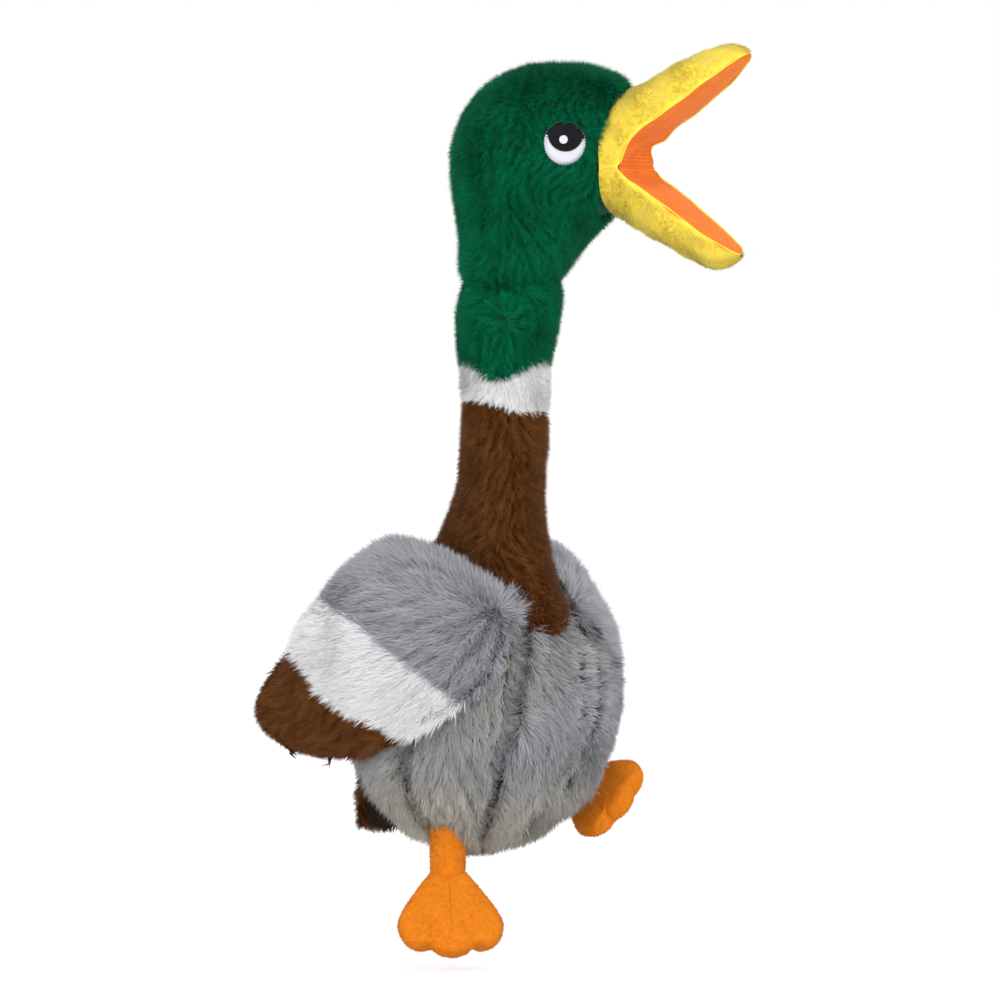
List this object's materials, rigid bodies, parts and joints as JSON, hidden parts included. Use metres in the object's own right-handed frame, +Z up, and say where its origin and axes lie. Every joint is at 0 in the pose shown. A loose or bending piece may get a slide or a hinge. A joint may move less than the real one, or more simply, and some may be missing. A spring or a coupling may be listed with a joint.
{
  "type": "plush duck dog toy",
  "caption": "Long-necked plush duck toy for a dog, with a round body, soft wings, dangling feet and an open padded beak; hangs from its neck.",
  "frame": {"origin": "on the neck's axis, in the middle of the brown lower neck where the toy is gripped", "axes": "+Z up along the neck, -Y the way the breast faces, -X the duck's right side; the head is turned 31 degrees to the duck's left"},
  "size_m": [0.1848, 0.2298, 0.4577],
  "materials": {
    "plush_green": "short curled pile",
    "plush_white": "short pile",
    "plush_brown": "short pile",
    "plush_grey": "long brushed pile",
    "plush_yellow": "low nap",
    "mouth_lining": "flat low nap",
    "plush_orange": "low nap",
    "thread_black": "satin embroidery",
    "thread_white": "satin embroidery",
    "tail_lining": "smooth",
    "filling": "loose polyester fibre",
    "honker_plastic": "moulded"
  },
  "bodies": {
    "neck": {"lower_neck": "plush_brown"},
    "torso": {"neck_base": "plush_brown", "body_panel_1": "plush_grey", "body_panel_2": "plush_grey", "body_panel_3": "plush_grey", "body_panel_4": "plush_grey", "body_panel_5": "plush_grey", "body_panel_6": "plush_grey", "body_panel_7": "plush_grey", "body_panel_8": "plush_grey", "body_filling": "filling", "honker_bellows": "honker_plastic", "honker_cap": "honker_plastic"},
    "collar": {"collar": "plush_white"},
    "upper_neck": {"upper_neck": "plush_green", "upper_neck_filling": "filling"},
    "head": {"head_right": "plush_green", "head_left": "plush_green", "head_filling": "filling", "eye_right_black": "thread_black", "eye_right_white": "thread_white", "eye_right_dot": "thread_white", "eye_left_black": "thread_black", "eye_left_white": "thread_white", "eye_left_dot": "thread_white", "mouth_fold": "mouth_lining", "mouth_corner_right": "plush_yellow", "mouth_corner_left": "plush_yellow"},
    "upper_beak": {"beak_upper": "plush_yellow", "beak_upper_lining": "mouth_lining"},
    "lower_beak": {"beak_lower": "plush_yellow", "beak_lower_lining": "mouth_lining"},
    "wing_right": {"wing_right_grey": "plush_grey", "wing_right_white": "plush_white", "wing_right_tip": "plush_brown", "wing_right_underside": "plush_brown"},
    "wing_left": {"wing_left_grey": "plush_grey", "wing_left_white": "plush_white", "wing_left_tip": "plush_brown", "wing_left_underside": "plush_brown"},
    "leg_right": {"leg_right": "plush_orange"},
    "foot_right": {"foot_right_top": "plush_orange", "foot_right_sole": "plush_orange"},
    "leg_left": {"leg_left": "plush_orange"},
    "foot_left": {"foot_left_top": "plush_orange", "foot_left_sole": "plush_orange"},
    "tail": {"tail": "plush_brown", "tail_lining": "tail_lining"}
  },
  "joints": [
    {"name": "torso_swing", "type": "hinge", "parent": "neck", "child": "torso", "pos_m": [0, 0, -0.0122], "axis": [1, 0, 0], "range_deg": [-25, 25], "stiffness_Nm_per_rad": 0.4, "springref_deg": 3.15},
    {"name": "neck_bend", "type": "hinge", "parent": "neck", "child": "collar", "pos_m": [0, 0, 0.04044], "axis": [1, 0, 0], "range_deg": [-22, 22], "stiffness_Nm_per_rad": 0.4, "springref_deg": -2.29},
    {"name": "neck_turn", "type": "hinge", "parent": "collar", "child": "upper_neck", "pos_m": [0, 0, 0.055], "axis": [0, 0, 1], "range_deg": [-70, 20], "stiffness_Nm_per_rad": 0.1},
    {"name": "head_nod", "type": "hinge", "parent": "upper_neck", "child": "head", "pos_m": [0.00206, -0.00343, 0.08672], "axis": [0.8572, 0.515, 0], "range_deg": [-24, 24], "stiffness_Nm_per_rad": 0.3, "springref_deg": -2.58},
    {"name": "upper_beak_close", "type": "hinge", "parent": "head", "child": "upper_beak", "pos_m": [0.03399, -0.05657, 0.155], "axis": [0.8572, 0.515, 0], "range_deg": [0, 35], "stiffness_Nm_per_rad": 0.03, "springref_deg": -5.73},
    {"name": "lower_beak_close", "type": "hinge", "parent": "head", "child": "lower_beak", "pos_m": [0.03399, -0.05657, 0.155], "axis": [0.8572, 0.515, 0], "range_deg": [-35, 0], "stiffness_Nm_per_rad": 0.03, "springref_deg": 2.86},
    {"name": "wing_right_lift", "type": "hinge", "parent": "torso", "child": "wing_right", "pos_m": [-0.02, -0.025, -0.0575], "axis": [-0.1755, 0.9654, 0.1931], "range_deg": [0, 40]},
    {"name": "wing_left_lift", "type": "hinge", "parent": "torso", "child": "wing_left", "pos_m": [0.02, -0.025, -0.0575], "axis": [0.1755, 0.9654, 0.1931], "range_deg": [-40, 0]},
    {"name": "hip_right_splay", "type": "hinge", "parent": "torso", "child": "leg_right", "pos_m": [-0.0297, 0.0074, -0.1866], "axis": [0, 1, 0], "range_deg": [0, 60]},
    {"name": "ankle_right_swing", "type": "hinge", "parent": "leg_right", "child": "foot_right", "pos_m": [-0.0297, 0.0074, -0.2066], "axis": [0.8676, -0.4973, -0.0002], "range_deg": [-30, 30], "stiffness_Nm_per_rad": 0.006, "springref_deg": -1.83},
    {"name": "hip_left_splay", "type": "hinge", "parent": "torso", "child": "leg_left", "pos_m": [0.0599, 0.0418, -0.1502], "axis": [0, 1, 0], "range_deg": [-40, 0], "stiffness_Nm_per_rad": 0.02, "springref_deg": -0.4},
    {"name": "ankle_left_swing", "type": "hinge", "parent": "leg_left", "child": "foot_left", "pos_m": [0.06998, 0.02994, -0.16276], "axis": [0.5989, -0.1901, 0.778], "range_deg": [-10, 38], "stiffness_Nm_per_rad": 0.006, "springref_deg": -1.66},
    {"name": "tail_lift", "type": "hinge", "parent": "torso", "child": "tail", "pos_m": [0, 0.0845, -0.1385], "axis": [1, 0, 0], "range_deg": [0, 60]}
  ]
}
